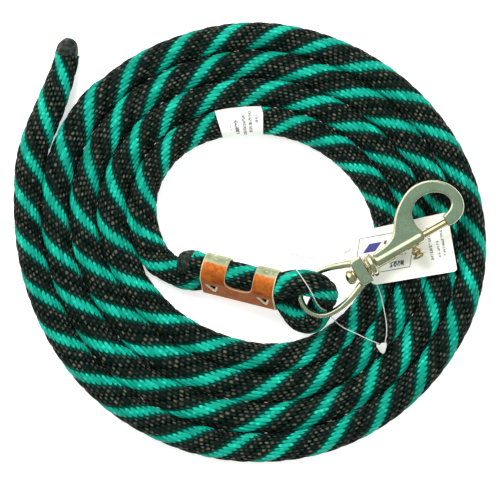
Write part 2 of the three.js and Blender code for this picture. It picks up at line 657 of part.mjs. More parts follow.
function fastenerHead() {
  const plate = bevelledPlate(polygon(HEAD_OUTLINE), HEAD.bottom, HEAD.height, HEAD.bevel, 1)
    .rotateZ(degToRad(HEAD.turnDeg))
    .translate(HEAD.x, HEAD.y, 0);
  // hollows round the two string ends
  const [start, end] = vectors([STRING_FROM_HEAD[0], STRING_TO_HEAD.at(-1)]);
  return toSolid(plate)
    .subtract(sphere(start, 1.6, 10, 8))
    .subtract(sphere(end, 1.2, 10, 8));
}

// ------------------------------------------------------------------ assembly
const group = new THREE.Group();
group.name = 'lead_rope';

// `shape` is a solid or an indexed geometry, drawn in `frame` if one is given.
function addPiece(name, shape, material, frame = new THREE.Matrix4()) {
  const geometry = (shape.isBufferGeometry ? shape : toGeometry(shape))
    .applyMatrix4(frame)
    .translate(...ORIGIN_SHIFT)
    .toNonIndexed();
  geometry.computeVertexNormals();
  const mesh = new THREE.Mesh(geometry, new THREE.MeshStandardMaterial({
    ...MATERIALS[material],
    roughness: ROUGHNESS,
  }));
  mesh.name = name;
  group.add(mesh);
}

addPiece('rope_coil', ropeCoil(), 'rope');
addPiece('rope_tail', ropeTail(), 'rope');
addPiece('tail_melted_tip', meltedTip(tailPath, TAIL_TIP, 12), 'melt');
addPiece('rope_snap_end', ropeSnapEnd(), 'rope');
addPiece('short_end_melted_tip', meltedTip(snapEndPath, SHORT_END_TIP, 14), 'melt');
addPiece('rope_clamp', ropeClamp(), 'steel', clampFrame);
addPiece('swivel_eye', swivelEye(), 'brass', snapFrame);
addPiece('swivel_post', latheX(POST_PROFILE, 24), 'bright', snapFrame);
addPiece('swivel_washer', swivelWasher(), 'bright', snapFrame);
addPiece('hook_body', hookBody(), 'brass', snapFrame);
addPiece('spring_bolt', springBolt(), 'bright', snapFrame);
addPiece('thumb_knob', thumbKnob(), 'bright', snapFrame);
addPiece('return_spring', returnSpring(), 'bright', snapFrame);
addPiece('rope_label', ropeLabel(), 'paper');
addPiece('hang_tag', hangTag(), 'paper');
addPiece('tag_fastener_loop', fastenerLoop(), 'film');
addPiece('tag_fastener_head', fastenerHead(), 'film');

export default group;
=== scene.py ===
"""Lead rope: braided rope, plated bolt snap, clamp, printed label and hang tag.

The coil lies flat on the XY plane, +Z up. It winds outwards and clockwise seen from above:
its inner end leads to the swivel eye near the middle, its outer end runs free towards -X +Y.
The snap points 30 degrees from +X towards +Y, and the tag lies on its +X side.
Shapes are in millimetres; MM turns them into metres. Lights and camera are in metres.
"""
import bpy
import math
import numpy as np
from functools import partialmethod
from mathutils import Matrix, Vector


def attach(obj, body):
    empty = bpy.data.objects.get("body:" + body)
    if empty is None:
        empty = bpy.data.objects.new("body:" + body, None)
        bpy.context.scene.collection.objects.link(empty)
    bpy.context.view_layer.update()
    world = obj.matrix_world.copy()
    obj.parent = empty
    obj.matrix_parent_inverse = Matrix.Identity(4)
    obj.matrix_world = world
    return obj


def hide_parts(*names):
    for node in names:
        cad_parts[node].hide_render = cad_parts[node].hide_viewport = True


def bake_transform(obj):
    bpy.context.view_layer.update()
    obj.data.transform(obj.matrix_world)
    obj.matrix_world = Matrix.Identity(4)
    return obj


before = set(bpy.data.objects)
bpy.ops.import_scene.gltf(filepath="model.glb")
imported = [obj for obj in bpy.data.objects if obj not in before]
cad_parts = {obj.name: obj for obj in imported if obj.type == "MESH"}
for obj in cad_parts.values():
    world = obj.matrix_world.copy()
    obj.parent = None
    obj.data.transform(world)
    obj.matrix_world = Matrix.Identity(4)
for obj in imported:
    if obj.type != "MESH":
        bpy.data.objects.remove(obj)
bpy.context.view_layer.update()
MM = 0.001
COLLECTION = bpy.context.scene.collection

# ------------------------------------------------------------------ rope path
COIL_CENTRE = np.array([2.95, 1.25, 0.0])       # added to every measured place
COIL_Z = 7.6                                    # height of the rope's middle line
# coil radius every RADIUS_STEP degrees, clockwise from -X, starting at RADIUS_START
RADIUS_START, RADIUS_STEP = -20, 10
COIL_RADII = np.array([
    51.7, 57.4, 61.8, 65.6, 69.1, 71.3, 72.3, 72.5, 71.8, 70.7, 69.9, 69.6, 69.7, 70.1, 70.8, 71.7,
    73.0, 74.5, 76.0, 77.1, 77.6, 77.6, 77.0, 75.8, 74.5, 73.4, 72.2, 70.7, 69.0, 67.5, 66.3, 65.8,
    66.2, 67.4, 69.0, 71.0, 73.8, 77.6, 81.7, 85.2, 87.1, 88.1, 88.7, 88.6, 87.8, 86.7, 86.0, 85.9,
    85.9, 86.1, 86.7, 87.7, 88.9, 90.4, 92.0, 93.2, 93.8, 94.0, 93.6, 92.4, 91.1, 90.2, 89.2, 87.9,
    86.5, 85.3, 84.5, 84.3, 84.7, 85.8, 87.4, 89.1, 91.5, 94.7, 98.3, 101.5, 103.4, 104.5, 105.0,
    104.7, 103.7, 102.7, 102.3, 102.2, 102.1, 102.2, 102.7, 103.6, 104.9, 106.4, 108.0, 109.3,
    110.0, 110.5, 110.1, 109.0, 107.8, 106.9, 106.1, 105.0, 104.0, 103.2, 102.8, 102.8, 103.3,
    104.3, 105.7, 107.2, 109.2, 111.8, 114.9, 117.9, 119.9, 121.1, 121.4, 120.8, 119.7, 118.7,
    118.5, 118.5, 118.3, 118.3, 118.7, 119.6, 120.8, 122.3, 124.1, 125.4, 126.2, 126.8, 126.7,
    125.5, 124.5, 123.7, 123.0, 122.3, 121.5, 121.0, 121.0, 121.2, 121.7, 122.7, 123.9, 125.0,
    126.5, 128.4, 130.9, 134.2, 138.3, 142.6, 148.1])
# angles of the coil's inner and outer ends
COIL_ANGLES = np.linspace(-16.2, 1451.5, 5872)
# x, y of the free tail
TAIL_XY = np.array([[-131.4, 42.3], [-128.2, 56.8], [-120.6, 75.4], [-117.2, 84.1],
                    [-111.4, 100.3], [-109.5, 108.4]])
TAIL_POINTS = np.column_stack([TAIL_XY, np.full(len(TAIL_XY), COIL_Z)]) + COIL_CENTRE
# x, y, z from the coil's inner end through the clamp, round the eye and back to the short end
SNAP_POINTS = np.array([
    [-48.43, -13.68, 7.6], [-45.18, -15.98, 7.7], [-41.75, -17.99, 7.89], [-38.06, -19.48, 8.23],
    [-34.2, -20.38, 8.62], [-30.25, -20.02, 8.98], [-26.33, -20.11, 9.55], [-22.59, -21.16, 10.39],
    [-18.79, -22.1, 11.2], [-14.99, -23.04, 12.01], [-11.2, -23.97, 12.82], [-7.4, -24.91, 13.63],
    [-3.6, -25.84, 14.44], [0.19, -26.78, 15.25], [3.98, -27.71, 16.06], [7.78, -28.65, 16.87],
    [11.59, -29.58, 17.68], [15.37, -30.52, 18.49], [19.18, -31.18, 19.4], [21.91, -33.95, 19.18],
    [23.76, -37.42, 18.41], [25.75, -40.8, 17.66], [28.54, -43.61, 17.34], [31.86, -45.81, 17.31],
    [35.69, -45.51, 17.24], [38.71, -42.95, 17.32], [40.14, -39.26, 17.67], [41.22, -35.66, 18.91],
    [42.42, -32.91, 21.52], [43.4, -31.08, 24.89], [43.71, -30.02, 28.69], [42.54, -28.18, 32.02],
    [40.37, -26.32, 34.78], [37.33, -24.67, 36.75], [33.68, -23.55, 37.83], [29.73, -23.06, 37.94],
    [25.85, -23.33, 37.1], [22.28, -24.09, 35.52], [19.38, -25.36, 33.09], [15.68, -24.76, 32.01],
    [11.9, -23.75, 31.27], [8.1, -22.81, 30.46], [4.3, -21.87, 29.65], [0.51, -20.94, 28.84],
    [-3.28, -20, 28.03], [-7.08, -19.07, 27.22], [-10.87, -18.14, 26.42], [-14.67, -17.2, 25.61],
    [-18.47, -16.26, 24.79], [-22.27, -15.32, 23.98], [-26.06, -14.41, 23.18],
    [-29.82, -13.4, 22.35], [-33.43, -11.98, 21.4]])
# the clamp's axis, its length and its upward direction
CLAMP_START = np.array([-28.6, -18.7, 16.5]) + COIL_CENTRE
CLAMP_END = np.array([13.6, -29.1, 25.5]) + COIL_CENTRE
CLAMP_LENGTH = float(np.linalg.norm(CLAMP_END - CLAMP_START))
CLAMP_AXIS = (CLAMP_END - CLAMP_START) / np.linalg.norm(CLAMP_END - CLAMP_START)
CLAMP_UP = np.array([-0.08773, 0.42404, 0.90138])
EYE_TURN = np.array([35.0, -36.0, 23.0]) + COIL_CENTRE   # middle of the turn through the eye
PATH_STEP = 0.5
FLAT_FROM = 20                                  # path steps past the pivot where +Z is the normal
ROPE_HALF_WIDTH, MAX_STRETCH = 7.95, 1.2


def spline(a, b, c, d, t):
    """Catmull-Rom value between b and c."""
    return b + 0.5 * t * (c - a + t * (2 * a - 5 * b + 4 * c - d + t * (3 * (b - c) + d - a)))


def spline_through(points, steps):
    out = []
    last = len(points) - 1
    t = np.linspace(0, 1, steps, endpoint=False)[:, None]
    for i in range(last):
        out.append(spline(points[max(i - 1, 0)], points[i], points[i + 1],
                          points[min(i + 2, last)], t))
    out.append(points[-1:])
    return np.concatenate(out)


def coil_points(angles):
    place = (angles - RADIUS_START) / RADIUS_STEP
    last = len(COIL_RADII) - 1
    i = np.clip(np.floor(place).astype(int), 0, last - 1)
    near = [COIL_RADII[np.clip(i + k, 0, last)] for k in (-1, 0, 1, 2)]
    r = spline(*near, place - i)
    w = np.radians(angles)
    flat = np.stack([-r * np.cos(w), r * np.sin(w), np.full_like(r, COIL_Z)], 1)
    return flat + COIL_CENTRE


def smooth(points, rounds):
    """Average each row with its neighbours; the end rows stay."""
    out = points.copy()
    for _ in range(rounds):
        out[1:-1] = (out[:-2] + 2 * out[1:-1] + out[2:]) / 4
    return out


# The path runs from the short end to the tail; lengths count from the pivot, the coil's inner end.
snap = smooth(spline_through(SNAP_POINTS, 10), 40)[::-1] + 0.0
coil = coil_points(COIL_ANGLES)
tail = spline_through(np.concatenate([coil[-1:], TAIL_POINTS]), 24)
raw = np.concatenate([snap[:-1], coil, tail[1:]])
raw_lengths = np.concatenate([[0], np.cumsum(np.linalg.norm(np.diff(raw, axis=0), axis=1))])
coil_first = len(snap) - 1
pivot_length = raw_lengths[coil_first]
pivot = int(round(pivot_length / PATH_STEP))
path_count = int(raw_lengths[-1] / PATH_STEP)
lengths = np.linspace(0, raw_lengths[-1], path_count)
PATH = np.stack([np.interp(lengths, raw_lengths, raw[:, k]) for k in range(3)], 1)
PATH[2:-2] = smooth(PATH, 12)[2:-2]
LENGTHS = lengths - pivot_length
FIRST, LAST = float(LENGTHS[0]), float(LENGTHS[-1])
COIL_LENGTHS = raw_lengths[coil_first:coil_first + len(COIL_ANGLES)] - pivot_length
TAIL_START = float(COIL_LENGTHS[-1])


def path_frames():
    """Tangents, and normals carried without twist both ways from the pivot."""
    tangent = np.gradient(PATH, axis=0)
    tangent /= np.linalg.norm(tangent, axis=1)[:, None]
    normal = np.zeros_like(PATH)
    normal[pivot] = (0, 0, 1)
    for walk in (range(pivot + 1, path_count), range(pivot - 1, -1, -1)):
        carried = normal[pivot]
        for i in walk:
            v = carried - tangent[i] * carried.dot(tangent[i])
            carried = v / np.linalg.norm(v)
            normal[i] = carried
    normal[pivot + FLAT_FROM:] = (0, 0, 1)
    return tangent, normal


def side_stretch():
    """Sideways stretch (outwards, inwards) that closes the gaps between turns."""
    flat = (PATH - COIL_CENTRE)[pivot:, :2]
    angle = np.unwrap(np.arctan2(flat[:, 1], -flat[:, 0])) * 180 / math.pi
    radius = np.hypot(flat[:, 0], flat[:, 1])
    half_out = np.interp(angle + 360, angle, radius, right=0) / 2 - radius / 2
    half_in = radius / 2 - np.interp(angle - 360, angle, radius, left=1e3) / 2
    stretch = np.ones((len(PATH), 2))
    stretch[pivot:, 0] = np.clip(half_out / ROPE_HALF_WIDTH, 1, MAX_STRETCH)
    stretch[pivot:, 1] = np.clip(half_in / ROPE_HALF_WIDTH, 1, MAX_STRETCH)
    return smooth(stretch, 60)


TANGENT, NORMAL = path_frames()
STRETCH = side_stretch()


def path_at(length):
    """Points, tangents, normals and sideways directions at path lengths."""
    length = np.atleast_1d(length)
    points, ahead, up = (np.stack([np.interp(length, LENGTHS, rows[:, k]) for k in range(3)], 1)
                         for rows in (PATH, TANGENT, NORMAL))
    ahead /= np.linalg.norm(ahead, axis=1)[:, None]
    up -= ahead * (ahead * up).sum(1)[:, None]
    up /= np.linalg.norm(up, axis=1)[:, None]
    return points, ahead, up, np.cross(ahead, up)


# ----------------------------------------------------------------- the braid
COLUMNS, ROW_SHIFT = 24, 0.25    # columns of floats round the rope, row shift per column
ROWS_PER_STRIPE = 3
ROW_OFFSET = 600.625             # puts the teal rows in place and keeps rows positive
TAIL_STRIPE = 27.0               # stripe spacing past the end of WIND
# how far the two stripes have wound, in stripe spacings, every 20 mm from WIND_START
WIND_START = 20.0
WIND = [
    0.89, 1.69, 2.48, 3.27, 4.06, 4.84, 5.63, 6.43, 7.24, 8.04, 8.85, 9.65, 10.45, 11.26, 12.04,
    12.77, 13.45, 14.11, 14.76, 15.41, 16.09, 16.79, 17.49, 18.19, 18.89, 19.61, 20.34, 21.08,
    21.82, 22.53, 23.22, 23.89, 24.56, 25.25, 25.95, 26.64, 27.30, 27.95, 28.61, 29.27, 29.93,
    30.57, 31.21, 31.82, 32.42, 33.01, 33.59, 34.18, 34.80, 35.46, 36.14, 36.82, 37.52, 38.21,
    38.87, 39.52, 40.18, 40.86, 41.53, 42.18, 42.82, 43.47, 44.14, 44.84, 45.55, 46.25, 46.92,
    47.61, 48.30, 49.00, 49.70, 50.39, 51.07, 51.72, 52.34, 52.92, 53.48, 54.03, 54.59, 55.17,
    55.78, 56.41, 57.07, 57.74, 58.43, 59.12, 59.81, 60.49, 61.16, 61.81, 62.46, 63.13, 63.82,
    64.54, 65.26, 65.97, 66.64, 67.32, 68.01, 68.71, 69.41, 70.07, 70.72, 71.39, 72.06, 72.71,
    73.34, 73.97, 74.61, 75.28, 75.94, 76.58, 77.21, 77.88, 78.56, 79.22, 79.86, 80.50, 81.17,
    81.87, 82.57, 83.29, 84.02, 84.78, 85.54, 86.30, 87.04, 87.76]
# path length, winding on the snap leg
LEG_WIND = np.array([[-215, -7.55], [-173.4, -6.33], [-135, -5.12], [-77.4, -2.78],
                     [-17, -0.78], [WIND_START, WIND[0]]])
leg_lengths = np.arange(-215, 18, 2.0)
wind_rows = np.column_stack([WIND_START + 20.0 * np.arange(len(WIND)), WIND])
WIND_PATH = np.concatenate([
    np.column_stack([leg_lengths, np.interp(leg_lengths, LEG_WIND[:, 0], LEG_WIND[:, 1])]),
    spline_through(wind_rows, 8)])
WIND_PATH[1:170, 1] = smooth(WIND_PATH[:, 1:], 60)[1:170, 0]     # ease the leg into the coil

# one float (a raised yarn): half width in columns, narrowing and lean, then its rounded ends
FLOAT_HALF, FLOAT_NARROW, NARROW_POWER, FLOAT_LEAN = 0.54, 0.72, 2.8, 0.10
END_POWER, END_SOFTNESS = 2.4, 0.55
GROOVE_RADIUS, FLOAT_RISE = 7.00, 1.18
TUBE_STEP, PER_COLUMN = ((0.7, 4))


def braid_rows(length):
    """Braid row number at path lengths."""
    wound = np.interp(length, WIND_PATH[:, 0], WIND_PATH[:, 1])
    wound = wound + np.maximum(length - WIND_PATH[-1, 0], 0) / TAIL_STRIPE
    return ROWS_PER_STRIPE * wound + ROW_OFFSET


def float_profile(along, around):
    """0 in the grooves, 1 on a float's crown."""
    column = np.floor(around)
    across = around - column - 0.5
    shifted = along + ROW_SHIFT * column
    row = np.floor(shifted)
    lengthwise = shifted - row - 0.5
    from_middle = np.abs(lengthwise) * 2
    half_width = FLOAT_HALF * (1 - FLOAT_NARROW * from_middle ** NARROW_POWER)
    side = (across - FLOAT_LEAN * lengthwise) / half_width
    crown = 0.5 + 0.5 * np.sqrt(np.clip(1 - side * side, 0, 1))
    height = crown * np.clip(1 - from_middle ** END_POWER, 0, 1) ** END_SOFTNESS
    # hashed variation, so that no two floats stand equally high
    chance = np.sin(column * 12.9898 + row * 78.233) * 43758.5453
    chance = chance - np.floor(chance)
    return height * (0.92 + 0.13 * chance)


def squeeze_at(points):
    """Radius scale: the clamp presses both legs, and the turn through the eye is drawn tight."""
    along = (points - CLAMP_START) @ CLAMP_AXIS
    beyond = np.maximum(np.maximum(-along, along - CLAMP_LENGTH), 0)
    foot = CLAMP_START + np.clip(along, 0, CLAMP_LENGTH)[:, None] * CLAMP_AXIS
    near = np.linalg.norm(points - foot, axis=1) < 18
    clamp = np.where(near, 0.935 + 0.065 * np.clip(beyond / 7, 0, 1), 1.0)
    q = np.clip((np.linalg.norm(points - EYE_TURN, axis=1) - 18) / 10, 0, 1)
    return np.minimum(clamp, 0.945 + 0.055 * q * q * (3 - 2 * q))


# ------------------------------------------------------------- mesh helpers
def make_mesh(name, points, faces, material, uvs=None, uv_name="lattice"):
    """Smooth mesh object from points in mm; uvs hold one pair per face corner."""
    mesh = bpy.data.meshes.new(name)
    sizes = np.array([len(face) for face in faces], dtype=np.int32)
    corners = np.array([v for face in faces for v in face], dtype=np.int32)
    mesh.vertices.add(len(points))
    mesh.vertices.foreach_set("co", np.asarray(points * MM, np.float32).reshape(-1))
    mesh.loops.add(len(corners))
    mesh.loops.foreach_set("vertex_index", corners)
    mesh.polygons.add(len(faces))
    starts = np.concatenate([[0], np.cumsum(sizes)[:-1]]).astype(np.int32)
    mesh.polygons.foreach_set("loop_start", starts)
    mesh.polygons.foreach_set("loop_total", sizes)
    mesh.polygons.foreach_set("use_smooth", np.ones(len(faces), bool))
    if uvs is not None:
        layer = mesh.uv_layers.new(name=uv_name)
        layer.data.foreach_set("uv", np.asarray(uvs, np.float32).reshape(-1))
    mesh.update(calc_edges=True)
    mesh.validate()
    ob = bpy.data.objects.new(name, mesh)
    COLLECTION.objects.link(ob)
    mesh.materials.append(material)
    return ob


def grid_quads(bands, columns, closed=True):
    """Quads between rows of points; a closed grid joins its last column to its first."""
    return [(i * columns + j, i * columns + (j + 1) % columns,
             (i + 1) * columns + (j + 1) % columns, (i + 1) * columns + j)
            for i in range(bands) for j in range(columns if closed else columns - 1)]


def flipped(face):
    return (face[0], *face[:0:-1])


def make_sheet(name, points, quads, rims, material, print_xy):
    """Thin printed sheet: the second half of the points is its under side.

    rims holds (point, next point, flip) for each wall along the edges.
    """
    below = len(print_xy)
    faces = []
    for quad in quads:
        faces += [quad, flipped(tuple(v + below for v in quad))]
    for a, b, flip in rims:
        wall = (a, b, b + below, a + below)
        faces.append(flipped(wall) if flip else wall)
    uvs = np.array([print_xy[v % below] for face in faces for v in face])
    return make_mesh(name, points, faces, material, uvs, "print")


def register(ob, body, node):
    """Parent the piece to its body's empty, and hide the CAD node it replaces."""
    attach(ob, body)
    if node:
        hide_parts(node)


# ------------------------------------------------------------------ materials
BLACK, WHITE = (0, 0, 0), (1, 1, 1)


class Graph:
    """Short names for shader nodes; each method returns an output socket."""
    def __init__(self, tree):
        self.tree = tree

    def node(self, kind, **settings):
        n = self.tree.nodes.new("ShaderNode" + kind)
        for key, value in settings.items():
            setattr(n, key, value)
        return n

    def put(self, socket, value):
        if isinstance(value, bpy.types.NodeSocket):
            self.tree.links.new(value, socket)
        elif socket.type == "RGBA":
            socket.default_value = (*value, 1)
        else:
            socket.default_value = value

    def surface(self, **inputs):
        """Fill Principled inputs; an underscore stands for a space."""
        sockets = self.tree.nodes["Principled BSDF"].inputs
        for key, value in inputs.items():
            self.put(sockets[key.replace("_", " ")], value)

    def calc(self, operation, a, b=0.0, c=None, clamp=False):
        n = self.node("Math", operation=operation, use_clamp=clamp)
        self.put(n.inputs[0], a)
        self.put(n.inputs[1], b)
        if c is not None:
            self.put(n.inputs[2], c)
        return n.outputs[0]

    add = partialmethod(calc, "ADD")
    sub = partialmethod(calc, "SUBTRACT")
    mul = partialmethod(calc, "MULTIPLY")
    muladd = partialmethod(calc, "MULTIPLY_ADD")     # a * b + c
    divide = partialmethod(calc, "DIVIDE")
    power = partialmethod(calc, "POWER")
    absolute = partialmethod(calc, "ABSOLUTE")
    floor = partialmethod(calc, "FLOOR")
    less = partialmethod(calc, "LESS_THAN")
    greater = partialmethod(calc, "GREATER_THAN")
    maximum = partialmethod(calc, "MAXIMUM")

    def coords(self, kind="Object"):
        return self.node("TexCoord").outputs[kind]

    def uv(self, name):
        parts = self.node("SeparateXYZ")
        self.put(parts.inputs[0], self.node("UVMap", uv_map=name).outputs[0])
        return parts.outputs[0], parts.outputs[1]

    def vector(self, *parts):
        n = self.node("CombineXYZ")
        for i, part in enumerate(parts):
            self.put(n.inputs[i], part)
        return n.outputs[0]

    def dot(self, vector, direction):
        n = self.node("VectorMath", operation="DOT_PRODUCT")
        self.put(n.inputs[0], vector)
        n.inputs[1].default_value = direction
        return n.outputs["Value"]

    def chance(self, a, b):
        """Random value for each pair of whole numbers."""
        n = self.node("TexWhiteNoise", noise_dimensions="2D")
        self.put(n.inputs["Vector"], self.vector(a, b))
        return n.outputs["Value"]

    def ramp(self, value, stops, interpolation="LINEAR"):
        n = self.node("ValToRGB")
        n.color_ramp.interpolation = interpolation
        elements = n.color_ramp.elements
        while len(elements) > 1:
            elements.remove(elements[-1])
        elements[0].position, elements[0].color = stops[0][0], (*stops[0][1], 1)
        for position, color in stops[1:]:
            elements.new(position).color = (*color, 1)
        self.put(n.inputs[0], value)
        return n.outputs[0]

    def rise(self, value, start, end, interpolation="EASE"):
        return self.ramp(value, [(start, BLACK), (end, WHITE)], interpolation)

    def fall(self, value, start, end):
        return self.ramp(value, [(start, WHITE), (end, BLACK)], "EASE")

    def mix(self, factor, a, b):
        n = self.node("Mix", data_type="RGBA")
        for i, value in ((0, factor), (6, a), (7, b)):
            self.put(n.inputs[i], value)
        return n.outputs[2]

    def noise(self, vector, scale, detail=3, rough=0.5):
        n = self.node("TexNoise")
        for key, value in (("Scale", scale), ("Detail", detail), ("Roughness", rough),
                           ("Vector", vector)):
            self.put(n.inputs[key], value)
        return n.outputs[0]

    def bump(self, height, strength, distance, normal=None):
        n = self.node("Bump")
        self.put(n.inputs["Strength"], strength)
        self.put(n.inputs["Distance"], distance)
        self.put(n.inputs["Height"], height)
        if normal is not None:
            self.put(n.inputs["Normal"], normal)
        return n.outputs[0]


def new_material(name):
    material = bpy.data.materials.new(name)
    material.use_nodes = True
    return material, Graph(material.node_tree)


def rope_material():
    """Black and teal floats on the braid lattice; the cell shapes match float_profile."""
    material, g = new_material("braided_rope")
    along, around = g.uv("lattice")
    column = g.floor(g.calc("MINIMUM", around, COLUMNS - 1e-4))
    across = g.sub(g.sub(around, column), 0.5)
    shifted = g.muladd(column, ROW_SHIFT, along)
    row = g.floor(shifted)
    lengthwise = g.sub(g.sub(shifted, row), 0.5)
    row_place = g.add(lengthwise, 0.5)
    from_middle = g.mul(g.absolute(lengthwise), 2.0)
    half_width = g.muladd(g.power(from_middle, NARROW_POWER),
                          -FLOAT_HALF * FLOAT_NARROW, FLOAT_HALF)
    side = g.divide(g.muladd(lengthwise, -FLOAT_LEAN, across), half_width)
    crown = g.calc("SQRT", g.sub(1.0, g.mul(side, side), clamp=True))
    ends = g.power(g.sub(1.0, g.power(from_middle, END_POWER), clamp=True), END_SOFTNESS)
    teal = g.less(g.calc("MODULO", row, ROWS_PER_STRIPE), 0.5)
    chance = g.chance(column, row)
    # filaments run along each float, leaning a little, different on each
    filament = g.noise(g.vector(g.muladd(lengthwise, 2.2, g.mul(across, 8.0)),
                                g.mul(lengthwise, 1.2), g.mul(chance, 37.0)),
                       scale=1.6, detail=3, rough=0.62)
    speckle_place = g.vector(g.mul(across, 3.1), g.mul(lengthwise, 5.2),
                             g.muladd(chance, 53.0, g.mul(column, 7.0)))
    # three glints to a row, brighter in some thirds than in others, broken by speckle
    third_chance = g.chance(column, g.floor(g.mul(shifted, 3.0)))
    third = g.calc("FRACT", g.mul(shifted, 3.0))
    third_middle = g.fall(g.absolute(g.sub(third, 0.5)), 0.12, 0.42)
    ridge = g.fall(g.absolute(side), 0.25, 0.90)
    glint = g.mul(g.mul(third_middle, ridge), g.muladd(g.power(third_chance, 2.0), 1.15, 0.12))
    speckle = g.noise(speckle_place, scale=1.0, detail=2)
    glint = g.mul(glint, g.maximum(g.muladd(speckle, 3.6, -1.05), 0.0))

    dark = g.ramp(g.muladd(filament, 0.7, g.mul(chance, 0.3)),
                  [(0.30, (0.0006, 0.0050, 0.0042)), (0.60, (0.0028, 0.0082, 0.0068)),
                   (0.85, (0.012, 0.017, 0.013))])
    black_yarn = g.mix(g.rise(glint, 0.05, 1.0, "LINEAR"), dark, (0.118, 0.112, 0.090))
    teal_tone = g.add(g.muladd(filament, 0.55, g.mul(chance, 0.2)), g.mul(glint, 0.2))
    teal_yarn = g.ramp(teal_tone, [(0.20, (0.0010, 0.135, 0.098)), (0.42, (0.0030, 0.315, 0.230)),
                                   (0.70, (0.020, 0.68, 0.51))])
    # black floats take on some colour where they butt against a stripe
    turn = g.calc("MODULO", row, ROWS_PER_STRIPE)
    lead = g.mul(g.calc("COMPARE", turn, 1.0), g.fall(row_place, 0.0, 0.30))
    trail = g.mul(g.calc("COMPARE", turn, 2.0), g.rise(row_place, 0.70, 1.0))
    beside = g.add(lead, trail)
    black_yarn = g.mix(g.mul(beside, 0.75), black_yarn, (0.0008, 0.052, 0.038))
    yarn = g.mix(teal, black_yarn, teal_yarn)
    # painted shade: darker colour in the grooves beside the floats and in the pits at their ends
    on_crown = g.rise(crown, 0.02, 0.45)
    off_pit = g.rise(ends, 0.22, 0.62)
    teal_middle = g.mul(teal, g.fall(from_middle, 0.45, 0.80))
    groove_shade = g.mix(teal_middle, (0.0008, 0.0050, 0.0038), (0.0010, 0.235, 0.165))
    pit_shade = g.mix(g.maximum(teal, beside), (0.0005, 0.0032, 0.0025), (0.0004, 0.050, 0.037))
    # painted shade: teal floats darken towards their ends
    teal_end_shade = g.mul(teal, g.rise(from_middle, 0.62, 0.95))
    yarn = g.mix(teal_end_shade, yarn, (0.0006, 0.095, 0.070))
    color = g.mix(off_pit, pit_shade, g.mix(on_crown, groove_shade, yarn))
    # no shine down in the gaps
    shine = g.mul(g.mul(off_pit, on_crown), g.muladd(teal, 0.06, 0.07))
    g.surface(Base_Color=color, Roughness=g.muladd(filament, 0.25, 0.34),
              Specular_IOR_Level=shine, Coat_Weight=0.0,
              Normal=g.bump(filament, strength=0.55, distance=0.00035))
    return material


def melted_material():
    material, g = new_material("melted_rope_end")
    coords = g.coords()
    lumps = g.noise(coords, scale=420, detail=4, rough=0.62)
    grain = g.noise(coords, scale=900, detail=3, rough=0.6)
    color = g.ramp(lumps, [(0.32, (0.002, 0.008, 0.007)), (0.48, (0.007, 0.015, 0.012)),
                           (0.60, (0.036, 0.040, 0.031)), (0.70, (0.006, 0.070, 0.054))])
    fine = g.bump(grain, strength=0.4, distance=0.0003)
    g.surface(Base_Color=color, Roughness=g.muladd(grain, 0.30, 0.36), Specular_IOR_Level=0.20,
              Normal=g.bump(lumps, strength=0.7, distance=0.0012, normal=fine))
    return material


def metal_material(name, tones, rough, edge_lightening, scale=90):
    """Plated metal: colour drifts between three tones, edges are brighter, finely uneven."""
    material, g = new_material(name)
    coords = g.coords()
    drift = g.noise(coords, scale=scale, detail=4, rough=0.55)
    grain = g.noise(coords, scale=scale * 9, detail=3, rough=0.6)
    pointiness = g.node("NewGeometry").outputs["Pointiness"]
    edge = g.rise(pointiness, 0.49, 0.56, "LINEAR")
    color = g.ramp(drift, list(zip((0.3, 0.5, 0.7), tones)))
    edge_color = tuple(min(1.0, x * 1.25 + 0.05) for x in tones[-1])
    cast_bump = g.bump(drift, strength=0.25, distance=0.0006)
    # sharper edges turn lighter, towards edge_color
    g.surface(Base_Color=g.mix(g.mul(edge, edge_lightening), color, edge_color), Metallic=1.0,
              Roughness=g.muladd(grain, 0.14, rough - 0.05),
              Normal=g.bump(grain, strength=0.12, distance=0.0002, normal=cast_bump))
    return material


